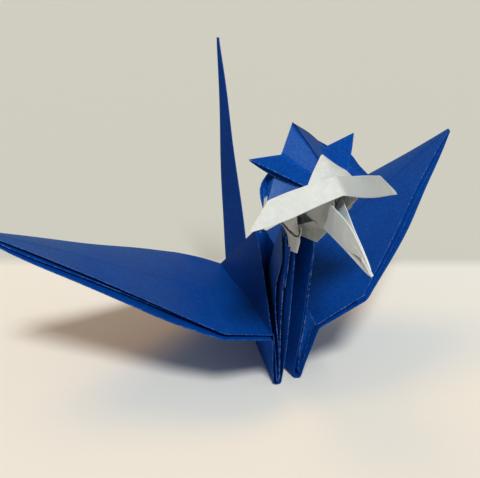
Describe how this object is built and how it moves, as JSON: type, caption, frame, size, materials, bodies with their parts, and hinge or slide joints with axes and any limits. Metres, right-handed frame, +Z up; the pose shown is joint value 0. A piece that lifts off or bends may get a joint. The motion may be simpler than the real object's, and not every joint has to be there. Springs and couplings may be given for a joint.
{
  "type": "origami crane",
  "caption": "Folded paper crane standing on its feet, wings half raised, tail upright, a folded helmet with horns over its hanging beak.",
  "frame": {"origin": "bottom point of the body where the two body halves meet, on the table", "axes": "+X across the wings to the raised wing, -Y the way the beak points, +Z up"},
  "size_m": [0.1124, 0.0818, 0.0699],
  "materials": {
    "paper": "matte duo paper, blue outside and white inside"
  },
  "bodies": {
    "root": {"crane": "paper"}
  },
  "joints": []
}
